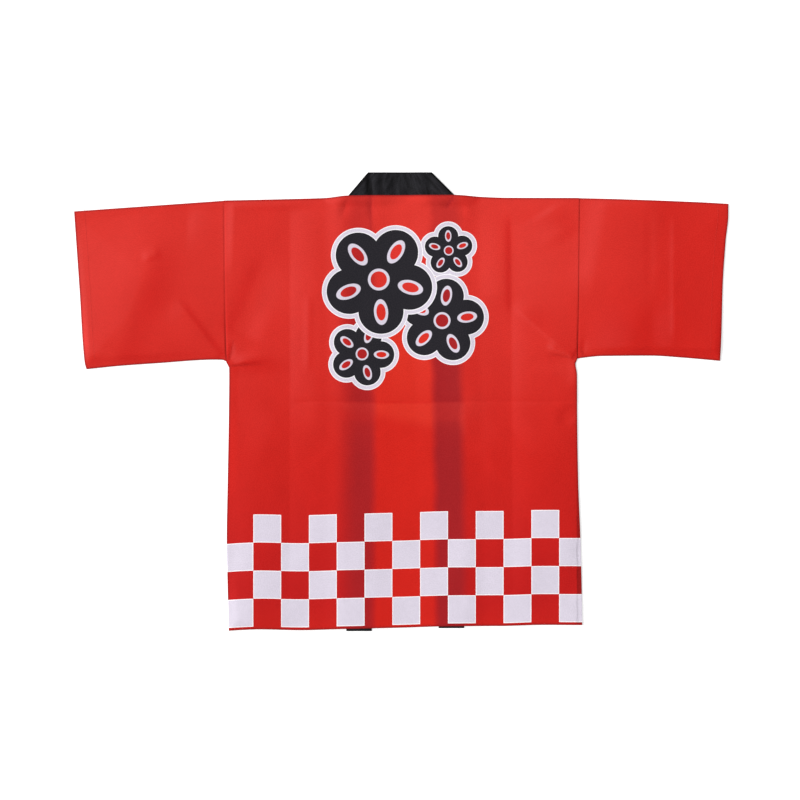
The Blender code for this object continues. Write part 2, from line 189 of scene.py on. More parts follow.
# The armhole seams' grooves: their depth at the shoulder and at the underarm, over which
# length it changes, their half width, and how far in from a rim they are at full depth
GROOVE_DEEP = {"left": (0.35, 0.8), "right": (0.12, 0.6)}
GROOVE_GROWS = 120.0
GROOVE_WIDE = 1.7
GROOVE_REACH = 20.0
CELL = 3.9  # size of a grid's cell
CLOSE_CELL = 1.5  # the same along a sharp crease or a seam
CREASE_X = (-295.0, -201.0, 199.0, 302.0)  # and the tucks at the underarms
CREASE_Y = (72.0, 0.0)
CUFF_SEAM = 19.0  # how far in from the cuff its turned edge is sewn
HEM_SEAM = 3.8
HEM_STEP_WIDE = 1.6
HEM_TURN = 6.0  # the turned hem and its second ply
HEM_STEP = 0.3
STITCHED_UP = 0.25  # how far a row of stitches holds the lower cloth off the surface
STITCHED_WIDE = {"hem": 4.0, "cuff": 3.0}  # half widths of that
BORDER = (0.0, 0.4, 0.9, 1.6, 2.6, 4.0, 6.0)  # closer lines in from a rim
CLOSE_LINES = 5  # on each side of a crease
FOLD_FACETS = 6
RIM_BULGE = 0.35  # how far a shell's rim is rounded out, as a share of its thickness
TINY = 1e-9

# Smaller folds of the upper cloth, which only the shells have
FINE_FOLDS = (
    Fold("neck, left of the band", (-97, 366), (-109, 328), (5, 9), -1.7, True, (4, 16)),
    Fold("neck, on the band", (-57, 366), (-53, 326), (5, 5), -1.0, True, (4, 12)),
    Fold("neck, right of the band", (92, 366), (73, 348), (5, 6), -1.3, True, (4, 8)),
    Fold("neck, outside it", (117, 362), (124, 322), (7, 16), 0.7, False, (8, 20)),
    Fold("under the left shoulder", (-200, 349), (-140, 351), (9, 9), -0.4, False, (20, 20)),
)
RIPPLES = ((120.0, 1.2), (48.0, 0.45), (20.0, 0.12))  # length and height of the unevenness

# Print, in mm
CHECK_START_X = -266.4  # a column's edge
CHECK_COLUMN = 50.07
CHECK_ROW = 50.5
CHECK_ROWS = 4
CHECK_UP = 5.0  # red strip under the lowest row
MOTIF_X = -0.5
MOTIF_Y = 177.7
OUTLINE = 8.5  # white line round the blossoms
PRINT_SOFT = 0.35  # how far the print's edges blur, to each side
RIM_WIDE = 1.5  # the denser rim of the white print
# Centre, radius and turn in degrees of each blossom, from the lowest to the topmost
Blossom = namedtuple("Blossom", "x y radius turn")
BLOSSOMS = (
    Blossom(86, 94, 44, 20),
    Blossom(-70, -92, 58, 70),
    Blossom(74, -32, 76, 8),
    Blossom(-40, 42, 98, -14),
)
PETALS = 5
# Parts of a blossom, as shares of its radius
PETAL_AT = 0.585  # a petal's middle; it reaches from there to the blossom's rim
MIDDLE = 0.34
DROP_AT = 0.60  # a red mark on each petal
DROP_WIDE = 0.085
DROP_LONG = 0.55  # its width over its length
DROP_LINE = 0.045
HEART = 0.15
HEART_LINE = 0.05


# Small mathematics


def mix(a, b, t):
    return a + (b - a) * t


def smooth(t):
    """0 to 1 with level ends."""
    t = np.clip(t, 0.0, 1.0)
    return t * t * (3 - 2 * t)


def bell(distance, half):
    """1 at no distance, dying out past a half width."""
    return np.exp(-((distance / half) ** 2))


def sign(side):
    return -1 if side == "left" else 1


def by_side(x, function):
    """What a function of a side's name gives, for points on both sides of the middle."""
    return np.where(x < 0, function("left"), function("right"))


def from_table(x, table):
    return by_side(x, table.get)


def curve(points):
    """A smooth curve through rising (place, value) points, level past its ends."""
    places, values = np.array(points, float).T
    steps = np.diff(values) / np.diff(places)
    before, after = steps[:-1], steps[1:]
    same_way = before * after > 0
    total = np.where(same_way, before + after, 1.0)
    inner = np.where(same_way, 2 * before * after / total, 0.0)
    slopes = np.concatenate((steps[:1], inner, steps[-1:]))

    def value(place):
        place = np.clip(place, places[0], places[-1])
        i = np.clip(np.searchsorted(places, place) - 1, 0, len(steps) - 1)
        width = places[i + 1] - places[i]
        t = (place - places[i]) / width
        bend = slopes[i] * (1 - t) ** 2 * t - slopes[i + 1] * t**2 * (1 - t)
        return mix(values[i], values[i + 1], smooth(t)) + width * bend

    return value


def curves(table):
    return {side: curve(rows) for side, rows in table.items()}


shoulder_y = curve(SHOULDER_Y)
hem_y = curve(HEM_Y)
side_x = curves(SIDE_X)
cuff_x = curves(CUFF_X)
sleeve_top_y = curves(SLEEVE_TOP_Y)
sleeve_bottom_y = curves(SLEEVE_BOTTOM_Y)
band_drift = curves(BAND_DRIFT)

NECK_RADIUS = (COLLAR_CLOTH + SEAM) / 2
LOW_LEVEL = COLLAR_CLOTH / 2
HIGH_LEVEL = LOW_LEVEL + 2 * NECK_RADIUS
FOLD_SHIFT = math.pi * NECK_RADIUS / math.sqrt(2)


def band_seam_x(side, y):
    """The sewn edge of the collar's run down one front."""
    out = sign(side) * (COLLAR_WIDTH + FOLD_SHIFT)
    return NECK_FOLD_X[side] + out + band_drift[side](y)


def band_free_x(side, y):
    """Its folded edge, towards the open front."""
    return band_seam_x(side, y) - sign(side) * COLLAR_WIDTH


# Height of the upper cloth


def up_stand(y):
    """0 at the neck's seam and 1 at the collar's free edge."""
    return np.clip((y - COLLAR_SEAM_Y) / COLLAR_WIDTH, 0.0, 1.0)


def stand_level(x):
    """Middle of the solid collar's thickness behind the neck."""
    return mix(HIGH_LEVEL, LOW_LEVEL, smooth((NECK_LEVEL_X - abs(x)) / NECK_SLACK))


def cover_height(x, y):
    """What the back and the sleeves' upper halves rest on."""

    def on_side(side):
        outside = sign(side) * (x - band_seam_x(side, y)) - 2 * SEAM
        inside = sign(side) * (band_free_x(side, y) - x)
        on_front = CLOTH + SEAM
        on_band = COLLAR_CLOTH + SEAM
        past_band = mix(on_band, on_front, smooth(outside / DRAPE_REACH))
        over_opening = on_band - OPENING_SAG * smooth(inside / SINK_REACH)
        height = np.where(outside > 0, past_band, over_opening)
        below = np.maximum(COLLAR_SEAM_Y - COLLAR_HIDDEN - y, 0.0)
        aside = np.maximum(outside, 0.0) / NECK_DRAPE[0]
        away = np.hypot(aside, below / NECK_DRAPE[1])
        on_stand = stand_level(x) + COLLAR_CLOTH / 2 + SEAM
        return np.maximum(height, on_stand * (1 - smooth(away)))

    return by_side(x, on_side)


def rim_distance(x, y, cuff_open):
    """How far a point of the upper cloth is in from the coat's closed and open edges."""

    def on_side(side):
        out = sign(side) * x
        armhole = abs(side_x[side](ARMHOLE_Y[side]))
        top = sleeve_top_y[side](x) - y
        under = y - sleeve_bottom_y[side](x)
        cuff = sign(side) * (cuff_x[side](y) - x) + cuff_open[side]
        on_sleeve = np.minimum(np.minimum(top, under), cuff)
        edge = np.where(
            y < ARMHOLE_Y[side],
            sign(side) * (side_x[side](y) - x),
            np.hypot(armhole - out, y - ARMHOLE_Y[side]),
        )
        on_body = np.minimum(np.minimum(shoulder_y(x) - y, y - hem_y(x)), edge)
        return np.maximum(np.where(out > armhole, on_sleeve, on_body), 0.0)

    return by_side(x, on_side)


def from_line(x, y, start, end):
    """How far a point is along a line and to its right, and the line's length."""
    (x0, y0), (x1, y1) = start, end
    length = math.dist(start, end)
    along = ((x - x0) * (x1 - x0) + (y - y0) * (y1 - y0)) / length
    across = ((x - x0) * (y1 - y0) - (y - y0) * (x1 - x0)) / length
    return along, across, length


def fold_height(fold, x, y):
    """One fold's rise at a point: its section, faded out towards its two ends."""
    along, across, length = from_line(x, y, fold.start, fold.end)
    power = CREASE_POWER if fold.crease else ROLL_POWER
    width = np.where(across > 0, *fold.sides)
    section = np.exp(-((abs(across) / width) ** power))
    first = smooth(along / fold.fade[0]) if fold.fade[0] else 1.0
    last = smooth((length - along) / fold.fade[1]) if fold.fade[1] else 1.0
    within = (along >= 0) & (along <= length)
    return np.where(within, fold.height * section * first * last, 0.0)


def rim_ease(x, rim):
    """How much of its height a fold has next to a rim."""
    return smooth(rim / from_table(x, FOLD_REACH) + from_table(x, RIM_SHARE))


def upper_height(x, y):
    """Underside of the solids' upper cloth: its cover, the air under it and its folds."""
    rim = rim_distance(x, y, CUFF_OPEN)
    from_opening = by_side(x, lambda side: sign(side) * (x - band_free_x(side, y)))
    loose = (1 - np.exp(-rim / from_table(x, LOFT_REACH))) * smooth(from_opening / OPENING_FADE)
    built_up = mix(loose, 1 - np.exp(-rim / RIM_ROUND), TIGHT_SHARE)
    folds = sum(fold_height(fold, x, y) for fold in FOLDS)
    raised = LOFT * built_up + folds * rim_ease(x, rim)
    free = raised - LOWEST
    pressed = (free + np.sqrt(free * free + PRESS_ROUND * PRESS_ROUND)) / 2
    return cover_height(x, y) + LOWEST + pressed


def ripple(x, y):
    """Slight unevenness of woven cloth that was folded, pressed and laid out."""
    total = np.zeros(x.shape)
    for length, height in RIPPLES:
        places = zip(x.ravel() / length, y.ravel() / length, strict=True)
        values = [noise.noise(Vector((a, b, length))) for a, b in places]
        total += height * np.reshape(values, x.shape)
    return total


def from_armhole(x, y):
    """Distance from a point to the seam between the back and a sleeve."""

    def on_side(side):
        below = np.maximum(ARMHOLE_Y[side] - y, 0.0)
        return np.hypot(x - side_x[side](np.maximum(y, ARMHOLE_Y[side])), below)

    return by_side(x, on_side)


def along_armhole(x, y, table):
    """A value that goes from one at the shoulder to another at the underarm, by side."""

    def on_side(side):
        high, low = table[side]
        return mix(low, high, smooth((y - ARMHOLE_Y[side]) / GROOVE_GROWS))

    return by_side(x, on_side)


def turned_hem(x, y):
    """The rise of the hem, which is turned up and so has a second ply."""
    on_body = y < from_table(x, ARMHOLE_Y)
    return HEM_STEP * on_body * (1 - smooth((y - hem_y(x) - HEM_TURN) / HEM_STEP_WIDE))


def cloth_top(x, y):
    """Outer face of the sleeves' upper halves, and the face that the back's shell is on."""
    rim = rim_distance(x, y, CUFF_OPEN)
    height = upper_height(x, y) + SHELL
    height -= RIM_DROP * np.exp(-rim / RIM_ROUND)
    fine = sum(fold_height(fold, x, y) for fold in FINE_FOLDS) + ripple(x, y)
    height += fine * rim_ease(x, rim) + turned_hem(x, y)
    groove = from_armhole(x, y) / GROOVE_WIDE
    deep = along_armhole(x, y, GROOVE_DEEP)
    return height - deep * np.exp(-groove * groove) * smooth(rim / GROOVE_REACH)


# Meshes


def graded(length, cell=CELL, close=()):
    """Fractions of a length, a cell apart, closer together at both rims and at creases."""
    border = np.array(BORDER)
    count = max(round((length - 2 * border[-1]) / cell), 1)
    inner = np.linspace(border[-1], length - border[-1], count + 1)
    for place in close:
        near = place + CLOSE_CELL * np.arange(-CLOSE_LINES, CLOSE_LINES + 1)
        far = abs(inner - place) > CLOSE_CELL * (CLOSE_LINES + 0.5)
        inner = np.sort(np.concatenate((inner[far], near)))
    return np.concatenate((border[:-1], inner, (length - border[:-1])[::-1])) / length


def slope(points, axis, wrap):
    """Steps between a grid's points along one of its ways."""
    if wrap:
        return np.roll(points, -1, axis) - np.roll(points, 1, axis)
    return np.gradient(points, axis=axis)


def grid_normals(points, wrap=False):
    """Unit normals of a grid of points, whose columns may close into rings."""
    normals = np.cross(slope(points, 1, wrap), slope(points, 0, False))
    return normals / np.linalg.norm(normals, axis=2, keepdims=True)


def quads(first, second, wrap):
    """Faces between two rows of vertex numbers."""
    if wrap:
        first = np.append(first, first[0])
        second = np.append(second, second[0])
    return np.stack((first[:-1], first[1:], second[1:], second[:-1]), axis=1)


def place_object(name, data):
    """A new object in the scene."""
    made = bpy.data.objects.new(name, data)
    bpy.context.scene.collection.objects.link(made)
    return made


def make_object(name, points, faces, layers, material):
    """A smooth mesh in metres, with a UV map or a number for each point in layers."""
    mesh = bpy.data.meshes.new(name)
    mesh.from_pydata(np.asarray(points) * MM, [], faces)
    bm = bmesh.new()
    bm.from_mesh(mesh)
    bmesh.ops.recalc_face_normals(bm, faces=bm.faces)
    bm.to_mesh(mesh)
    bm.free()
    mesh.shade_smooth()
    corner_point = np.empty(len(mesh.loops), dtype=np.int32)
    mesh.loops.foreach_get("vertex_index", corner_point)
    for layer, values in layers.items():
        values = np.asarray(values, dtype=np.float32)
        if values.ndim == 2:
            uv_map = mesh.uv_layers.new(name=layer)
            uv_map.uv.foreach_set("vector", values[corner_point].ravel())
        else:
            mesh.attributes.new(layer, "FLOAT", "POINT").data.foreach_set("value", values)
    mesh.materials.append(material)
    return place_object(name, mesh)


def round_the_rim(number, row):
    """The grid's outermost vertices in order (row 0), or the ones just in from them (row 1)."""
    top, bottom = number[row, :-1], number[-1 - row, :0:-1]
    right, left = number[:-1, -1 - row], number[:0:-1, row]
    return np.concatenate((top, right, bottom, left))


def shell(name, outer, layers, material, wrap=False):
    """Cloth with rounded rims, on the side of a grid that its normals look away from."""
    rows, columns, _ = outer.shape
    inner = outer - grid_normals(outer, wrap) * SHELL
    number = np.arange(rows * columns).reshape(rows, columns)
    below = number + rows * columns
    if wrap:
        loops = [number[0], number[-1]]
        next_in = [number[1], number[-2]]
    else:
        loops = [round_the_rim(number, 0)]
        next_in = [round_the_rim(number, 1)]
    flat_outer, flat_inner = outer.reshape(-1, 3), inner.reshape(-1, 3)
    points = [flat_outer, flat_inner]
    faces = [quads(a, b, wrap) for a, b in zip(number, number[1:], strict=False)]
    faces += [quads(a, b, wrap) for a, b in zip(below, below[1:], strict=False)]
    source = [number.ravel(), number.ravel()]
    count = 2 * rows * columns
    for loop, further in zip(loops, next_in, strict=True):
        middle = (flat_outer[loop] + flat_inner[loop]) / 2
        outward = flat_outer[loop] - flat_outer[further]
        outward /= np.maximum(np.linalg.norm(outward, axis=1, keepdims=True), TINY)
        points.append(middle + outward * SHELL * RIM_BULGE)
        ring = np.arange(count, count + len(loop))
        faces += [quads(loop, ring, True), quads(ring, loop + rows * columns, True)]
        source.append(loop)
        count += len(loop)
    source = np.concatenate(source)
    spread = {}
    for key, values in layers.items():
        flat = np.asarray(values).reshape(rows * columns, -1)[source]
        spread[key] = flat[:, 0] if flat.shape[1] == 1 else flat
    points, faces = np.concatenate(points), np.concatenate(faces).tolist()
    return make_object(name, points, faces, spread, material)


# Materials


# Linear colours. The red is brightest at the shoulders and deepest at the hem; its mix between
# these also carries painted light and painted shade.
RED_HIGH = (0.585, 0.0236, 0.0156, 1.0)
RED_LOW = (0.500, 0.0070, 0.0029, 1.0)
RED_HEM = (0.428, 0.0030, 0.0026, 1.0)
OPEN_FRONT_LIGHT = (1.060, 1.10, 0.70, 1.0)  # painted light where no front lies under the back: the pale floor shows through the one ply
RED_OVER_BLACK = (0.297, 0.0050, 0.0076, 1.0)
WHITE = (0.588, 0.540, 0.626, 1.0)
WHITE_RIM = (0.80, 0.78, 0.81, 1.0)  # where the print lies thicker
BLACK_PRINT = (0.0097, 0.0097, 0.0140, 1.0)
COLLAR_BLACK = (0.0083, 0.0079, 0.0095, 1.0)
THREAD_RED = (0.60, 0.0180, 0.0110, 1.0)
PAINTED_EDGE_SHADE = (0.19, 0.0010, 0.0010, 1.0)  # painted shade along creased edges, seams and tucks
# Whitish: the grain's fuzz, and also the painted sheen's colour
FUZZ_AND_SHEEN = (0.80, 0.55, 0.55, 1.0)
FUZZ_SHARE = 0.012
# Painted sheen and painted shade by the upper cloth's slope: paler where it rises to the right,
# towards the light, and a purer red where it falls away from it
PAINTED_SHEEN_WAY = (0.97, -0.24)
PAINTED_SHEEN_GAIN = 13.0
PAINTED_SHEEN_LOW = (0.2, -120.0, 100.0)  # its share near the hem, and from where to where it grows
PAINTED_SHEEN_NECK = (110.0, 45.0)  # behind the neck it fades out: half widths
PAINTED_SHEEN_STEP = 3.0  # to each side, for the slope
PAINTED_SHEEN_PALE = 0.022
PAINTED_SHADE_DEEP = 0.60
PAINTED_SHADE_GAIN = (1.0, 0.35, 0.30, 1.0)
# Scale for each mm and detail of the cloth's noises. Streaks and slubs are stretched
GRAIN = (0.55, 3.0)
MOTTLE = (0.11, 3.0)
COLLAR_FINE = (0.55, 4.0)
UNEVEN = (0.9, 4.0)
STRETCHED = (1.0, 3.0)
GRAIN_RANGE = (0.3, 0.7)
GRAIN_TONES = (0.925, 1.07)  # of the darkest threads and of the lightest
MOTTLE_TONES = (0.985, 1.015)
CLOTH_ROUGH, COLLAR_ROUGH, THREAD_ROUGH = 0.8, 0.75, 0.55
CLOTH_SPECULAR, COLLAR_SPECULAR, THREAD_SPECULAR = 0.12, 0.10, 0.3
CLOTH_SHEEN, COLLAR_SHEEN = 0.025, 0.02
SHEEN_ROUGH = 0.5
CLOTH_BUMP, COLLAR_BUMP = 0.5, 0.6
STREAKS = (0.13, 0.035, 1.0)  # for each mm along the collar and across it
COLLAR_RANGE = (0.25, 0.75)
COLLAR_GRAIN = 0.5  # the fine grain's share beside the streaks
COLLAR_TONES = (0.15, 2.6, 0.1)  # of the collar's black: dark threads, pale ones, and painted shade at its edges and creases
WEAVE_PITCH = 0.62  # of one thread over and one under, in mm
WEAVE_SHARE = 0.35  # beside the unevenness
WEAVE_DEEP = 0.12
SLUBS = (0.25, 1.6, 1.0)  # thick places in the yarn, for each mm
# How bright the red is along the coat, its own tone, and across it, where it also carries painted
# light: brighter where light falls more, as on the left sleeve
TONE_ALONG = (
    (-413, -0.30), (-385, -0.60), (-345, -0.92), (-300, -0.84), (-228, -0.5),
    (-105, 0), (0, 0.3), (80, 0.6), (220, 1),
)
TONE_AND_LIGHT_ACROSS = (
    (-590, 0.95), (-430, 0.75), (-200, 0.68), (0, 1), (250, 1), (330, 0.7),
    (430, 0.55), (485, 0.2), (590, 0.25),
)


def darker(colour, share):
    return tuple(c * share for c in colour[:3]) + (1.0,)


class Graph:
    """Short calls for the nodes of one material."""

    def __init__(self, name):
        self.material = bpy.data.materials.new(name)
        self.material.use_nodes = True
        self.tree = self.material.node_tree
        self.shader = self.tree.nodes["Principled BSDF"]

    def feed(self, socket, value):
        if isinstance(value, bpy.types.NodeSocket):
            self.tree.links.new(value, socket)
        elif value is not None:
            socket.default_value = value

    def node(self, kind, inputs, **settings):
        """A new node with named inputs, each a socket or a plain value."""
        made = self.tree.nodes.new(kind)
        for key, value in settings.items():
            setattr(made, key, value)
        for key, value in inputs.items():
            self.feed(made.inputs[key], value)
        return made

    def maths(self, operation, *inputs):
        made = self.node("ShaderNodeMath", dict(enumerate(inputs)), operation=operation)
        return made.outputs[0]

    def times(self, first, second):
        return self.maths("MULTIPLY", first, second)

    def plus(self, first, second):
        return self.maths("ADD", first, second)

    def minus(self, first, second):
        return self.maths("SUBTRACT", first, second)

    def vector(self, operation, *inputs, result="Vector"):
        made = self.node("ShaderNodeVectorMath", dict(enumerate(inputs)), operation=operation)
        return made.outputs[result]

    def blend(self, share, first, second, way="MIX"):
        """Two colours mixed: the sixth and seventh sockets are a Mix node's colours."""
        inputs = {0: share, 6: first, 7: second}
        made = self.node("ShaderNodeMix", inputs, data_type="RGBA", blend_type=way)
        return made.outputs[2]

    def tint(self, colour, tone):
        return self.blend(1.0, colour, tone, "MULTIPLY")

    def split(self, place):
        return self.node("ShaderNodeSeparateXYZ", {0: place}).outputs

    def step(self, value, start, end):
        """0 at start and 1 at end, smoothly."""
        inputs = {"Value": value, "From Min": start, "From Max": end}
        made = self.node("ShaderNodeMapRange", inputs, interpolation_type="SMOOTHSTEP")
        return made.outputs[0]

    def noise(self, place, scale, detail=2.0):
        inputs = {"Vector": place, "Scale": scale, "Detail": detail}
        return self.node("ShaderNodeTexNoise", inputs).outputs[0]

    def shade(self, inputs):
        """The material, with these on its shader, each a socket or a plain value."""
        for key, value in inputs.items():
            self.feed(self.shader.inputs[key], value)
        return self.material

    def attribute(self, name):
        return self.node("ShaderNodeAttribute", {}, attribute_name=name).outputs["Fac"]

    def place(self):
        """The Cloth map: where a point is on its piece, in mm."""
        uv_map = self.node("ShaderNodeUVMap", {}, uv_map="Cloth").outputs[0]
        return self.vector("MULTIPLY", uv_map, (1 / MM, 1 / MM, 0.0))


def blossom_marks(graph, place, blossom):
    """Shares of one blossom's outline, petals and inner marks at a point."""
    centre = (MOTIF_X + blossom.x, MOTIF_Y + blossom.y, 0.0)
    from_centre = graph.vector("SUBTRACT", place, centre)
    radius = graph.vector("LENGTH", from_centre, result="Value")
    parts = graph.split(from_centre)
    angle = graph.maths("ARCTAN2", parts[1], parts[0])
    angle = graph.minus(angle, math.radians(blossom.turn))
    folded = graph.maths("PINGPONG", angle, math.pi / PETALS)
    along = graph.times(radius, graph.maths("COSINE", folded))
    aside = graph.times(radius, graph.maths("SINE", folded))
    petal_place = graph.node("ShaderNodeCombineXYZ", {0: along, 1: aside}).outputs[0]

    def disc(x, size, squeeze=1.0):
        """Signed distance from a disc on the petal's middle line, long where squeezed."""
        to = graph.vector("SUBTRACT", petal_place, (x, 0.0, 0.0))
        to = graph.vector("MULTIPLY", to, (squeeze, 1.0, 1.0))
        away = graph.vector("LENGTH", to, result="Value")
        return graph.minus(away, size)

    size = blossom.radius
    petal = disc(PETAL_AT * size, (1 - PETAL_AT) * size)
    heart = graph.minus(radius, MIDDLE * size)
    form = graph.maths("MINIMUM", petal, heart)
    return form, disc, radius


def inside(graph, distance, limit=0.0):
    """1 where a signed distance is under a limit."""
    return graph.step(distance, limit + PRINT_SOFT, limit - PRINT_SOFT)


def white_print(graph, distance, wide, colour):
    """A white line of a certain width round a form, denser along its two rims."""
    colour = graph.blend(inside(graph, distance, wide), colour, WHITE_RIM)
    colour = graph.blend(inside(graph, distance, wide - RIM_WIDE), colour, WHITE)
    return graph.blend(inside(graph, distance, RIM_WIDE), colour, WHITE_RIM)


def add_motif(graph, place, colour):
    """Overlapping plum blossoms, black with white outlines and small red marks."""
    red = colour
    for blossom in BLOSSOMS:
        form, disc, radius = blossom_marks(graph, place, blossom)
        size = blossom.radius
        colour = white_print(graph, form, OUTLINE, colour)
        colour = graph.blend(inside(graph, form), colour, BLACK_PRINT)
        drop = disc(DROP_AT * size, DROP_WIDE * size, DROP_LONG)
        colour = graph.blend(inside(graph, drop, DROP_LINE * size), colour, WHITE)
        colour = graph.blend(inside(graph, drop), colour, red)
        ring = graph.minus(radius, HEART * size)
        colour = graph.blend(inside(graph, ring, HEART_LINE * size), colour, WHITE)
        colour = graph.blend(inside(graph, ring), colour, red)
    return colour


def add_check(graph, place, colour):
    """The check at the hem: red and white squares in four rows."""
    parts = graph.split(place)
    column = graph.minus(parts[0], CHECK_START_X)
    column = graph.maths("DIVIDE", column, CHECK_COLUMN)
    up = graph.attribute("above_hem")
    row = graph.maths("DIVIDE", graph.minus(up, CHECK_UP), CHECK_ROW)
    both = graph.plus(graph.maths("FLOOR", column), graph.maths("FLOOR", row))
    odd = graph.maths("FLOORED_MODULO", both, 2.0)
    started = graph.maths("GREATER_THAN", row, 0.0)
    ended = graph.maths("LESS_THAN", row, float(CHECK_ROWS))
    in_rows = graph.times(started, ended)
    in_x = graph.times(graph.maths("PINGPONG", column, 0.5), CHECK_COLUMN)
    in_y = graph.times(graph.maths("PINGPONG", row, 0.5), CHECK_ROW)
    near_rim = inside(graph, graph.maths("MINIMUM", in_x, in_y), RIM_WIDE)
    white = graph.blend(near_rim, WHITE, WHITE_RIM)
    return graph.blend(graph.times(odd, in_rows), colour, white)


# Where each run starts and ends to show, in mm out from its sewn edge and from its free
# edge, and how strongly it does
BAND_EDGES = (
    ("left", (28, -22), (12, -8), 0.85),
    ("right", (14, -8), (11, -7), 0.97),
)
BAND_WAVER = 11.0  # how far those places waver, and the waver's scale for each mm
BAND_WAVER_SCALE = 0.017


def add_bands(graph, place, colour):
    """The collar's black runs show through the one ply over them."""
    shown = graph.attribute("band_shows")
    waver = graph.minus(graph.noise(place, BAND_WAVER_SCALE), 0.5)
    waver = graph.times(waver, BAND_WAVER)
    masks = []
    for side, sewn, free, share in BAND_EDGES:
        from_free = graph.plus(graph.attribute(f"from_{side}_band"), waver)
        start = graph.step(from_free, -COLLAR_WIDTH - sewn[0], -COLLAR_WIDTH - sewn[1])
        end = graph.step(from_free, *free)
        there = graph.times(start, end)
        masks.append(graph.times(there, share))
    mask = graph.times(graph.plus(*masks), shown)
    return graph.blend(mask, colour, RED_OVER_BLACK)


def weave_bump(graph, place, strength):
    """Threads over and under each other, and the slight unevenness of the yarn."""
    parts = graph.split(place)
    turns = 2 * math.pi / WEAVE_PITCH
    across, along = (graph.maths("SINE", graph.times(part, turns)) for part in parts[:2])
    slubs = graph.noise(graph.vector("MULTIPLY", place, SLUBS), *STRETCHED)
    uneven = graph.plus(slubs, graph.noise(place, *UNEVEN))
    height = graph.maths("MULTIPLY_ADD", graph.times(across, along), WEAVE_SHARE, uneven)
    inputs = {"Strength": strength, "Distance": WEAVE_DEEP * MM, "Height": height}
    return graph.node("ShaderNodeBump", inputs).outputs[0]


def add_grain(graph, place, colour):
    """Lighter and darker threads, and faint whitish fuzz that takes the print unevenly."""
    fine = graph.step(graph.noise(place, *GRAIN), *GRAIN_RANGE)
    broad = graph.step(graph.noise(place, *MOTTLE), *GRAIN_RANGE)
    for share, tones in ((fine, GRAIN_TONES), (broad, MOTTLE_TONES)):
        dark, light = ((tone, tone, tone, 1.0) for tone in tones)
        colour = graph.tint(colour, graph.blend(share, dark, light))
    return graph.blend(graph.times(fine, FUZZ_SHARE), colour, FUZZ_AND_SHEEN)


def add_painted_sheen(graph, colour):
    """Painted sheen, whitish, on slopes that face the light, and painted shade, a purer red, on
    slopes that face away from it.
    """
    painted_sheen = graph.attribute("painted_sheen")
    pale = graph.times(graph.maths("MAXIMUM", painted_sheen, 0.0), PAINTED_SHEEN_PALE)
    deep = graph.times(graph.maths("MINIMUM", painted_sheen, 0.0), -PAINTED_SHADE_DEEP)
    colour = graph.blend(pale, colour, FUZZ_AND_SHEEN)
    return graph.blend(deep, colour, graph.tint(colour, PAINTED_SHADE_GAIN))


def red_cloth(name, hem=False, motif=False, bands=False):
    """Printed red cotton. The map's place is in mm; the check counts from the hem."""
    graph = Graph(name)
    place = graph.place()
    # The red's own tone, with painted light and painted shade in its mix
    tone_and_light = graph.attribute("tone_and_light")
    colour = graph.blend(tone_and_light, RED_LOW, RED_HIGH)
    colour = graph.blend(graph.times(tone_and_light, -1.0), colour, RED_HEM)
    if bands:
        # Painted light where the pale floor shows through the one ply over the open front
        lit_through = graph.tint(colour, OPEN_FRONT_LIGHT)
        colour = graph.blend(graph.attribute("open_front"), colour, lit_through)
        colour = add_bands(graph, place, colour)
    # Painted sheen and painted shade, by the cloth's slope towards the light
    colour = add_painted_sheen(graph, colour)
    # Painted shade along the edges, the armhole seams and the tucks
    colour = graph.blend(graph.attribute("edge"), colour, PAINTED_EDGE_SHADE)
    if motif:
        colour = add_motif(graph, place, colour)
    if hem:
        colour = add_check(graph, place, colour)
    colour = add_grain(graph, place, colour)
    return graph.shade(
        {
            "Base Color": colour,
            "Roughness": CLOTH_ROUGH,
            "Specular IOR Level": CLOTH_SPECULAR,
            "Sheen Weight": CLOTH_SHEEN,
            "Sheen Roughness": SHEEN_ROUGH,
            "Normal": weave_bump(graph, place, CLOTH_BUMP),
        }
    )


def black_cloth(name):
    graph = Graph(name)
    place = graph.place()
    fine = graph.step(graph.noise(place, *COLLAR_FINE), *COLLAR_RANGE)
    broad = graph.noise(graph.vector("MULTIPLY", place, STREAKS), *STRETCHED)
    broad = graph.step(broad, *GRAIN_RANGE)
    mottle = graph.times(fine, COLLAR_GRAIN)
    mottle = graph.maths("MULTIPLY_ADD", broad, 1 - COLLAR_GRAIN, mottle)
    dark, pale, painted_shade_black = (darker(COLLAR_BLACK, share) for share in COLLAR_TONES)
    colour = graph.blend(mottle, dark, pale)
    # Painted shade along the collar's edges and in its upright creases
    colour = graph.blend(graph.attribute("edge"), colour, painted_shade_black)
    return graph.shade(
        {
            "Base Color": colour,
            "Roughness": COLLAR_ROUGH,
            "Specular IOR Level": COLLAR_SPECULAR,
            "Sheen Weight": COLLAR_SHEEN,
            "Normal": weave_bump(graph, place, COLLAR_BUMP),
        }
    )


# Pieces

SETTLING = 4  # rounds in which a grid's x and y, which hang on each other, settle


def body_grid(inner_x, outer_x, hem_up, cell=CELL, creases=()):
    """x and y over a panel, between two edges that depend on y, shoulder to hem."""
    width = abs(outer_x(0.0) - inner_x(0.0))
    close = [abs(place - inner_x(0.0)) for place in creases]
    top, bottom = dict(SHOULDER_Y)[0], dict(HEM_Y)[0]
    level = [top - place for place in CREASE_Y] if creases else []
    across = graded(width, cell, close)[None, :]
    down = graded(top - bottom, cell, level)[:, None]
    x = np.zeros((down.size, across.size))
    y = mix(top, bottom, down) + x
    for _ in range(SETTLING):
        x = mix(inner_x(y), outer_x(y), across)
        y = mix(shoulder_y(x), hem_y(x) + hem_up, down)
    return x, y


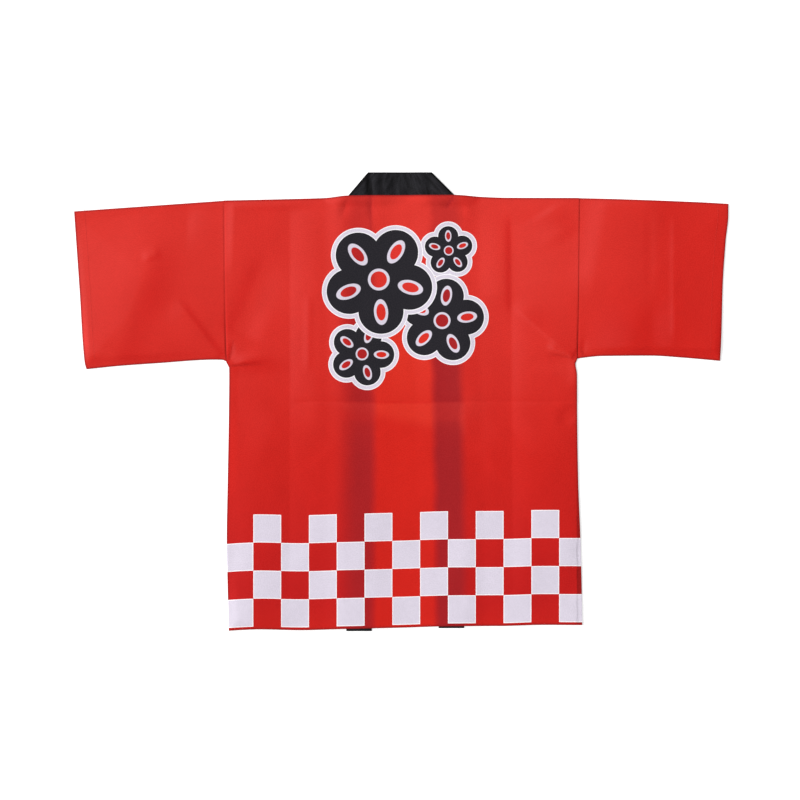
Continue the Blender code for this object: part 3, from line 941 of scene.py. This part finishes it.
tone_along = curve(TONE_ALONG)
tone_and_light_across = curve(TONE_AND_LIGHT_ACROSS)
BANDS_SHOW = (
    (-413, 1), (-120, 1), (-72, 0.95), (-38, 0.82), (-30, 0.68), (-4, 0.68), (2, 0.92),
    (200, 0.95), (290, 0.72), (322, 0.42), (372, 0.40),
)
bands_along = curve(BANDS_SHOW)
# Where the collar is pressed against the back, behind the neck: start, end and share
PRESSED = (
    ((-56, 374), (-54, 300), 0.85),
    ((92, 366), (82, 352), 0.85),
    ((-97, 366), (-108, 336), 0.55),
)
PRESSED_HALF = 5.0
# Short tucks that run into the underarms, as lines of painted shade: start, end and share
TUCKS = (
    ((-302.5, 108), (-305, 92), 0.25),
    ((-305, 92), (-310.5, 75), 0.38),
    ((-299, 100), (-304, 84), 0.16),
    ((-309, 64.5), (-276, 66), 0.30),
    ((-276, 66), (-246, 66), 0.14),
    ((270, 86), (311, 77), 0.22),
    ((324, 95), (328, 83), 0.30),
)
TUCK_HALF = 1.9
# Painted shade: how much deeper the red is at the coat's edges and at the armhole seams, and its
# half widths there. A seam has a share at the shoulder and one at the underarm
EDGE_SHADE_SHARE = 0.72
SEAM_SHADE_SHARE = {"left": (0.42, 0.8), "right": (0.08, 0.5)}
EDGE_WIDE = 2.5
SEAM_WIDE = 1.2
# Painted shade where the red is deeper, and painted light where it is paler (share under 0):
# place, half widths and share
SHADE_AND_LIGHT_SPOTS = (
    (415, 130, 80, 65, 0.45),
    (-265, 63, 50, 14, 0.38),
    (-453, 192, 45, 45, 0.25),
    (262, 325, 45, 20, 0.25),
    (245, 148, 34, 26, 0.25),
    (277, 62, 30, 18, -0.38),
    (126, -8, 22, 24, -0.30),
    (-166, -20, 22, 50, -0.16),
)
OPEN_KEEPS = 0.8  # share of the hem's deeper tone that the open front lacks, as painted light from the floor through the one ply
OPEN_EDGE = 10.0  # how softly the open front's tone begins beside the collar's runs
OPEN_HIGH = 200.0  # how far up it shows, and over which length it fades
OPEN_FADE = 100.0
PAINTED_GLEAM = 0.55  # painted light: how much brighter the red is under the level crease
PAINTED_GLEAM_LOW = (-48.0, -0.2, 30.0)  # its lower edge at the middle, that edge's slant and fade
PAINTED_GLEAM_TOP = 7.0
PAINTED_GLEAM_SIDE = 12.0
PAINTED_GLEAM_PAST = 60.0  # how far it goes on past the collar's free edges


def painted_sheen_share(x, y):
    """-1 to 1: painted sheen or painted shade, by the slope of the upper cloth towards the light.
    """
    across = upper_height(x + PAINTED_SHEEN_STEP, y) - upper_height(x - PAINTED_SHEEN_STEP, y)
    along = upper_height(x, y + PAINTED_SHEEN_STEP) - upper_height(x, y - PAINTED_SHEEN_STEP)
    slant = (across * PAINTED_SHEEN_WAY[0] + along * PAINTED_SHEEN_WAY[1]) / (2 * PAINTED_SHEEN_STEP)
    low, start, end = PAINTED_SHEEN_LOW
    share = mix(low, 1.0, smooth((y - start) / (end - start)))
    share = share * (1 - bell(np.hypot(x / PAINTED_SHEEN_NECK[0], (COLLAR_SEAM_Y - y) / PAINTED_SHEEN_NECK[1]), 1.0))
    return np.clip(PAINTED_SHEEN_GAIN * slant, -1.0, 1.0) * share


def tone_and_light_at(x, y):
    """How bright the red is: its own tone, least at the hem, with painted light across the coat
    and painted shade and light in spots.
    """
    along = tone_along(y)
    deeper = 0.0
    for at_x, at_y, wide, high, share in SHADE_AND_LIGHT_SPOTS:
        deeper += share * bell(np.hypot((x - at_x) / wide, (y - at_y) / high), 1.0)
    return np.where(along > 0, along * tone_and_light_across(x), along) - deeper


def near_lines(x, y, lines, half):
    """Each straight line's share on it, dying out beside it."""
    near = np.zeros(np.shape(x))
    for start, end, share in lines:
        along, across, length = from_line(x, y, start, end)
        away = np.hypot(across, along - np.clip(along, 0.0, length))
        near = np.maximum(near, share * bell(away, half))
    return near


def painted_edge_shade(x, y):
    """Painted shade: how much deeper the red is along the coat's edges, armhole seams and tucks.
    """
    edge = EDGE_SHADE_SHARE * bell(rim_distance(x, y, NOT_OPEN), EDGE_WIDE)
    seam = along_armhole(x, y, SEAM_SHADE_SHARE) * bell(from_armhole(x, y), SEAM_WIDE)
    return np.maximum(np.maximum(edge, seam), near_lines(x, y, TUCKS, TUCK_HALF))


def bands_show(x, y):
    """How much black of the collar's runs is seen through the back."""
    return np.maximum(bands_along(y), near_lines(x, y, PRESSED, PRESSED_HALF))


def cloth_layers(x, y):
    """Where each point is on the cloth, and the red's changes of tone, painted light and painted
    shade there.
    """
    return {
        "Cloth": np.stack((x, y), axis=-1) * MM,
        "tone_and_light": tone_and_light_at(x, y),
        "painted_sheen": painted_sheen_share(x, y),
        "edge": painted_edge_shade(x, y),
    }


def panel_layers(x, y):
    """The same on a body panel, with the print's rows and the collar's runs under it."""
    left = x - band_free_x("left", y)
    right = band_free_x("right", y) - x
    # Painted light under the level crease, between the collar's runs
    between = smooth((left + PAINTED_GLEAM_PAST) / PAINTED_GLEAM_SIDE) * smooth((right + PAINTED_GLEAM_PAST) / PAINTED_GLEAM_SIDE)
    low, slant, fade = PAINTED_GLEAM_LOW
    painted_gleam = smooth((y - low - slant * x) / fade) * smooth(-y / PAINTED_GLEAM_TOP) * between
    # Painted light over the open front, where the pale floor shows through
    lit_through = smooth(left / OPEN_EDGE) * smooth(right / OPEN_EDGE)
    deeper = 1 - OPEN_KEEPS * lit_through * (y < 0)
    layers = cloth_layers(x, y)
    layers["tone_and_light"] = layers["tone_and_light"] * deeper + PAINTED_GLEAM * painted_gleam
    layers["above_hem"] = y - hem_y(x)
    layers["from_left_band"] = left
    layers["from_right_band"] = right
    layers["band_shows"] = bands_show(x, y)
    layers["open_front"] = lit_through * smooth((OPEN_HIGH - y) / OPEN_FADE)
    return layers


def back_cloth():
    """The back. Its grid's normals look down, so its shell stands on cloth_top."""
    x, y = body_grid(side_x["left"], side_x["right"], 0.0, creases=CREASE_X)
    outer = np.stack((x, y, cloth_top(x, y)), axis=-1)
    material = red_cloth("red_cloth_back", hem=True, motif=True, bands=True)
    return shell("back_cloth", outer, panel_layers(x, y), material)


# Lower cloth: where its creases are, in mm from the middle, and how far they lift it
LOWER_CREASE_X = {"front": 201.0, "sleeve": 455.0}
LOWER_CREASE = (0.4, 6.0)  # height and half width
LOWER_LEVEL_CREASE = 0.3
LOWER_RIPPLE = (0.3, 1.3)  # height, and how much closer its unevenness is
LOWER_SHIFT = {"front": 500.0, "sleeve": -700.0}  # so that it isn't the upper cloth's
LOWER_RIM = 30.0


def lower_lift(x, y, piece):
    """How far creases and unevenness lift the lower cloth off the surface."""
    height, wide = LOWER_CREASE
    from_crease = abs(abs(x) - LOWER_CREASE_X[piece]) / wide
    lift = height * np.exp(-(from_crease**CREASE_POWER))
    if piece == "front":
        lift += LOWER_LEVEL_CREASE * np.exp(-((abs(y) / wide) ** CREASE_POWER))
    height, closer = LOWER_RIPPLE
    lift += height * np.maximum(ripple(x * closer, y * closer + LOWER_SHIFT[piece]), 0)
    return lift * smooth(rim_distance(x, y, CUFF_OPEN) / LOWER_RIM)


def front_cloth(side, material):
    """A front: its outer face is down on the surface, and its creases lift off it."""
    x, y = body_grid(side_x[side], lambda y: band_seam_x(side, y), FRONT_HEM_UP, 2 * CELL)
    to_right = -sign(side)  # the columns run to the right, so that the normals look down
    x, y = x[:, ::to_right], y[:, ::to_right]
    lift = lower_lift(x, y, "front")
    from_stitches = y - hem_y(x) - FRONT_HEM_UP - HEM_SEAM
    lift += STITCHED_UP * bell(from_stitches, STITCHED_WIDE["hem"])
    outer = np.stack((x, y, lift), axis=-1)
    return shell(f"{side}_front_cloth", outer, panel_layers(x, y), material)


def sleeve_cloth(side):
    """One sheet round the sleeve: lower half, fold, upper half and underarm seam."""
    length = abs(cuff_x[side](MID_SLEEVE_Y) - side_x[side](MID_SLEEVE_Y))
    to_right = sign(side)  # the rows run to the right, so that the upper half's normals look up
    along = graded(length, close=(length - CUFF_SEAM,))[::to_right, None]
    down = graded(SLEEVE_DEPTH)[None, :]
    bottom = ARMHOLE_Y[side]
    x = np.zeros((along.size, down.size))
    y = mix(bottom + SLEEVE_DEPTH, bottom, down) + x
    for _ in range(SETTLING):
        x = mix(side_x[side](np.maximum(y, bottom)), cuff_x[side](y), along)
        y = mix(sleeve_top_y[side](x) - EDGE_ROUND, sleeve_bottom_y[side](x) + EDGE_ROUND, down)
    upper = cloth_top(x, y)
    from_cuff = sign(side) * (cuff_x[side](y) - x)
    sewn = STITCHED_UP * bell(from_cuff - CUFF_SEAM, STITCHED_WIDE["cuff"])
    lower = np.maximum(lower_lift(x, y, "sleeve"), sewn)
    turn = np.linspace(-math.pi / 2, math.pi / 2, FOLD_FACETS + 1)[1:-1][None, :]

    def edge(column, way):
        """The rounded edge between the two halves, from the lower one to the upper."""
        low, high = lower[:, column, None], upper[:, column, None]
        z = mix(low, high, (1 + np.sin(turn)) / 2)
        there = y[:, column, None] + way * EDGE_ROUND * np.cos(turn)
        return x[:, column, None] + 0 * turn, there, z

    top_x, top_y, top_z = edge(0, 1)
    seam_x, seam_y, seam_z = edge(-1, -1)
    z = np.concatenate((lower[:, ::-1], top_z, upper, seam_z[:, ::-1]), axis=1)
    x = np.concatenate((x[:, ::-1], top_x, x, seam_x[:, ::-1]), axis=1)
    y = np.concatenate((y[:, ::-1], top_y, y, seam_y[:, ::-1]), axis=1)
    outer = np.stack((x, y, z), axis=-1)
    material = red_cloth(f"red_cloth_{side}_sleeve")
    return shell(f"{side}_sleeve_cloth", outer, cloth_layers(x, y), material, wrap=True)


def folded_band_point(s, w):
    """Middle of the collar's cloth, s along it and w in from its sewn edge.

    The cloth past the 45 degree folds behind the neck is turned under.
    """
    way = np.where(s < 0, -1.0, 1.0)
    fold = from_table(s, NECK_FOLD_X)
    past = (way * (s - fold) + (w - COLLAR_WIDTH)) / math.sqrt(2)
    turn = np.clip(past / NECK_RADIUS, 0.0, math.pi)
    under = past - turn * NECK_RADIUS
    reach = np.where(past > 0, NECK_RADIUS * np.sin(turn) - under, past)
    move = (reach - past) / math.sqrt(2)
    x = s + way * move
    y = COLLAR_SEAM_Y + w + move
    drift = by_side(s, lambda side: band_drift[side](y))
    x = x + np.where(turn == math.pi, drift, 0.0)
    level = HIGH_LEVEL - NECK_RADIUS * (1 - np.cos(turn))
    z = np.where(past > 0, level, stand_level(s))
    eased = smooth((CORNER_EASE_X[0] - x) / CORNER_EASE_X[1])
    return np.stack((x + CORNER_EASE * eased * up_stand(y), y, z), axis=-1)


# Upright creases of the stand: place, depth and half width, then how much deeper the
# black is in them as painted shade, and over which half width
StandCrease = namedtuple("StandCrease", "place depth wide dark dark_wide")
STAND_CREASES = (
    StandCrease(-56, 2.6, 5, 1, 4.5),
    StandCrease(-36.5, 1.5, 6, 0.45, 4),
    StandCrease(-13, 1.4, 8, 0.3, 6),
    StandCrease(14, 0.9, 6, 0.25, 5),
    StandCrease(48, 1.6, 9, 0.35, 6),
)
STAND_RISE = 12.0  # how quickly they start above the neck's seam
COLLAR_EDGE = 2.2  # half width of the painted shade along the collar's edges


def stand_creases(points):
    """How far the upper ply of the stand dips, most next to the neck's seam."""
    x, up = points[..., 0], up_stand(points[..., 1])
    dips = sum(row.depth * bell(x - row.place, row.wide) for row in STAND_CREASES)
    return -dips * (1 - up * up) * smooth(up * STAND_RISE)


def collar_painted_shade(s, w):
    """Painted shade: how much deeper the black is along the collar's edges and upright creases.
    """
    fold = abs(from_table(s, NECK_FOLD_X))
    from_fold = abs(abs(s) - fold + w - COLLAR_WIDTH) / math.sqrt(2)
    from_edge = np.minimum(np.minimum(w, COLLAR_WIDTH - w), from_fold)
    creased = sum(row.dark * bell(s - row.place, row.dark_wide) for row in STAND_CREASES)
    return np.clip(np.maximum(bell(from_edge, COLLAR_EDGE), creased), 0.0, 1.0)


STAND_LINES = 25
CORNER_LINES = 14
RUN_LINES = 130
RUN_SLANT = 0.16  # share of a run over which its lines come to lie level


def collar_lines():
    """Lines across the band, as places along its sewn and its free edge.

    They run from the right end to the left one, so that the upper ply's normals look up.
    """
    lines = []
    for side in SIDES[::-1]:
        way = sign(side)
        fold = abs(NECK_FOLD_X[side])
        turned = math.sqrt(2) * math.pi * NECK_RADIUS
        half = []
        for part in np.linspace(0, 1, STAND_LINES + 1)[:-1]:
            half.append((part * (fold + COLLAR_WIDTH), part * fold))
        for part in np.linspace(0, 1, CORNER_LINES + 1):
            half.append((fold + COLLAR_WIDTH + turned * part, fold + turned * part))
        seam, free = half[-1]
        corner = folded_band_point(np.array(way * free), COLLAR_WIDTH)
        run = float(corner[1]) - BAND_END_Y[side]
        for part in np.linspace(0, 1, RUN_LINES + 1)[1:]:
            slant = (seam - free) * (1 - smooth(part / RUN_SLANT))
            half.append((free + part * run + slant, free + part * run))
        half = [(way * a, way * b) for a, b in half]
        lines = half[::-1] if side == "right" else lines + half[1:]
    return np.array(lines)


def collar_band():
    """The band as cloth folded lengthwise: upper ply, round free edge, lower ply."""
    lines = collar_lines()
    half = BAND_THICK / 2
    w = graded(COLLAR_WIDTH - half)[None, :] * (COLLAR_WIDTH - half)
    s = mix(lines[:, :1], lines[:, 1:], w / COLLAR_WIDTH)
    middle = folded_band_point(s, w + 0 * s)
    middle[..., 2] -= (COLLAR_CLOTH - BAND_THICK) / 2
    normal = grid_normals(middle)
    outward = slope(middle, 1, False)
    outward /= np.linalg.norm(outward, axis=2, keepdims=True)
    turn = np.linspace(math.pi / 2, -math.pi / 2, FOLD_FACETS + 3)[1:-1][None, :, None]
    edge = normal[:, -1:] * np.sin(turn) + outward[:, -1:] * np.cos(turn)
    upper, lower = middle + normal * half, middle - normal * half
    on_stand = upper[..., 1] > COLLAR_SEAM_Y
    upper[..., 2] += np.where(on_stand & (normal[..., 2] > 0), stand_creases(upper), 0.0)
    outer = np.concatenate((upper, middle[:, -1:] + edge * half, lower[:, ::-1]), axis=1)
    # Painted shade along the collar's edges and creases, full on its folded free edge
    deep = collar_painted_shade(s, w + 0 * s)
    deep = np.concatenate((deep, np.ones((len(lines), turn.size)), deep[:, ::-1]), axis=1)
    steps = np.linalg.norm(np.diff(outer, axis=1), axis=2)
    over = np.concatenate((np.zeros((len(lines), 1)), np.cumsum(steps, axis=1)), axis=1)
    along = lines.mean(axis=1)[:, None] + 0 * over
    layers = {"Cloth": np.stack((along, over), axis=-1) * MM, "edge": deep}
    return shell("collar_band", outer, layers, black_cloth("black_cloth"))


# Stitches

STITCH_PITCH = 3.4
STITCH_LONG = 2.4
STITCH_WIDE = 0.45
STITCH_HIGH = 0.3
STITCH_SIDES = 6
STITCH_RINGS = ((-0.5, 0.35), (-0.36, 1.0), (0.36, 1.0), (0.5, 0.35))  # place, size
STITCH_WOBBLE = 0.1  # how far they are off their pitch, and how quickly that changes
STITCH_BEAT = 2.4
STITCH_STEP = 0.1  # along the row, for its way there
STITCH_ABOVE = 0.08
TWIST_TONE = 0.8
ROW_POINTS = {"hem": 400, "cuff": 200, "front": 200}
ROW_IN = 3.0  # how far in a row ends
CUFF_ROW_IN = 12.0  # the same under a sleeve's top
NEAR_HEM_Y = -400.0


def thread(name, colour):
    graph = Graph(name)
    place = graph.place()
    twist = graph.maths("SINE", graph.split(place)[0])
    colour = graph.blend(twist, darker(colour, TWIST_TONE), colour)
    inputs = {"Roughness": THREAD_ROUGH, "Specular IOR Level": THREAD_SPECULAR}
    return graph.shade({"Base Color": colour, **inputs})


def stitches(name, path, material):
    """A row of stitches along a path of points, each a small closed body of its own."""
    steps = np.linalg.norm(np.diff(path, axis=0), axis=1)
    run = np.concatenate(([0.0], np.cumsum(steps)))
    count = int((run[-1] - STITCH_LONG) / STITCH_PITCH)
    middles = STITCH_LONG / 2 + STITCH_PITCH * (np.arange(count) + 0.5)
    middles += STITCH_WOBBLE * np.sin(np.arange(count) * STITCH_BEAT)

    def at(places):
        return np.stack([np.interp(places, run, path[:, axis]) for axis in range(3)], axis=-1)

    centre = at(middles)[:, None, None, :]
    ahead = at(middles + STITCH_STEP) - at(middles - STITCH_STEP)
    ahead = (ahead / np.linalg.norm(ahead, axis=1, keepdims=True))[:, None, None, :]
    aside = np.cross(ahead, (0.0, 0.0, 1.0))
    rings = np.array(STITCH_RINGS)
    along = rings[:, 0][None, :, None, None] * STITCH_LONG
    size = rings[:, 1][None, :, None, None]
    turn = np.linspace(0, 2 * math.pi, STITCH_SIDES, endpoint=False)[None, None, :, None]
    wide = aside * np.cos(turn) * size * STITCH_WIDE / 2
    high = np.array((0.0, 0.0, 1.0)) * np.sin(turn) * size * STITCH_HIGH / 2
    points = (centre + ahead * along + wide + high).reshape(-1, 3)
    number = np.arange(len(points)).reshape(count, len(rings), STITCH_SIDES)
    faces = []
    for one in number:
        for first, second in zip(one, one[1:], strict=False):
            faces += quads(first, second, True).tolist()
        faces += [one[0].tolist(), one[-1][::-1].tolist()]
    cloth = np.stack((points[:, 0] + points[:, 1], points[:, 2]), axis=-1) * MM
    return make_object(name, points, faces, {"Cloth": cloth}, material)


def over(x, y):
    """Points along a line just above cloth_top. On the back they lie inside its shell."""
    return np.stack((x, y, cloth_top(x, y) + STITCH_ABOVE), axis=-1)


def under(x, y):
    """Points along a line under the lower cloth, which the surface presses flat."""
    return np.stack((x, y, STITCH_HIGH / 2 + 0 * x), axis=-1)


def stitch_rows(thread_material):
    """Rows of stitches, by the name of the piece that they are sewn on."""
    rows = {}
    ends = [SIDE_X[side][0][1] - sign(side) * ROW_IN for side in SIDES]
    across = np.linspace(*ends, ROW_POINTS["hem"])
    hem = over(across, hem_y(across) + HEM_SEAM)
    rows["back"] = [stitches("hem_stitches", hem, thread_material)]
    for side in SIDES:
        bottom = ARMHOLE_Y[side]
        top = bottom + SLEEVE_DEPTH - CUFF_ROW_IN
        y = np.linspace(bottom + ROW_IN, top, ROW_POINTS["cuff"])
        x = cuff_x[side](y) - sign(side) * CUFF_SEAM
        upper = stitches(f"{side}_cuff_stitches", over(x, y), thread_material)
        lower = stitches(f"{side}_cuff_stitches_below", under(x, y), thread_material)
        rows[f"{side}_sleeve"] = [upper, lower]
        start = side_x[side](0.0) - sign(side) * ROW_IN
        end = band_seam_x(side, NEAR_HEM_Y) + sign(side) * ROW_IN
        x = np.linspace(start, end, ROW_POINTS["front"])
        front = under(x, hem_y(x) + FRONT_HEM_UP + HEM_SEAM)
        rows[f"{side}_front"] = [stitches(f"{side}_front_hem_stitches", front, thread_material)]
    return rows


# The coat

back = back_cloth()
front_material = red_cloth("red_cloth_front", hem=True)
fronts = {side: front_cloth(side, front_material) for side in SIDES}
sleeves = {side: sleeve_cloth(side) for side in SIDES}
collar = collar_band()

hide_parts("back")
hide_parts("collar")
for side in SIDES:
    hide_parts(f"{side}_front")
    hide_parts(f"{side}_sleeve")
for piece in (back, *fronts.values(), *sleeves.values()):
    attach(piece, "root")
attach(collar, "root")

sewn = stitch_rows(thread("red_thread", THREAD_RED))
for row in (row for rows in sewn.values() for row in rows):
    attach(row, "root")


# Stage, light and camera

PAPER_FAR = 6.0
PAPER_Z = -0.0002  # a hair under the coat, so that the two don't share a plane
PAPER = {
    "Base Color": (0.62, 0.62, 0.62, 1.0),
    "Emission Color": (1.0, 1.0, 1.0, 1.0),
    "Emission Strength": 0.6,
    "Roughness": 0.9,
    "Specular IOR Level": 0.1,
}
KEY_FROM = (-0.96, 0.24, 0.5)
KEY_STRENGTH = 5.9
KEY_SOFT = 50.0  # degrees that it spans
WORLD_STRENGTH = 0.40
FRAME_WIDE = 1.4424  # metres that the frame spans at the coat
FRAME_MIDDLE = (-0.00225, 0.0027)
LENS = 85
SENSOR = 36


def floor():
    """Plain pale paper, lit a little from below as on a light table."""
    mesh = bpy.data.meshes.new("floor")
    ways = ((-1, -1), (1, -1), (1, 1), (-1, 1))
    corners = [(a * PAPER_FAR, b * PAPER_FAR, PAPER_Z) for a, b in ways]
    mesh.from_pydata(corners, [], [(0, 1, 2, 3)])
    mesh.materials.append(Graph("floor_paper").shade(PAPER))
    place_object("floor", mesh)


def key_light():
    """Even light from one side, as from a large soft box far away."""
    light = bpy.data.lights.new("key", "SUN")
    light.energy = KEY_STRENGTH
    light.angle = math.radians(KEY_SOFT)
    made = place_object("key", light)
    made.rotation_euler = Vector(KEY_FROM).to_track_quat("Z", "Y").to_euler()


def world():
    made = bpy.data.worlds.new("studio")
    made.use_nodes = True
    background = made.node_tree.nodes["Background"]
    background.inputs["Color"].default_value = (1.0, 1.0, 1.0, 1.0)
    background.inputs["Strength"].default_value = WORLD_STRENGTH
    bpy.context.scene.world = made


def camera():
    """Straight above the coat, as the photo's is."""
    data = bpy.data.cameras.new("camera")
    data.lens = LENS
    data.sensor_width = SENSOR
    made = place_object("camera", data)
    made.location = (*FRAME_MIDDLE, FRAME_WIDE * LENS / SENSOR)
    bpy.context.scene.camera = made


floor()
key_light()
world()
camera()
bpy.context.scene.view_settings.view_transform = "Standard"
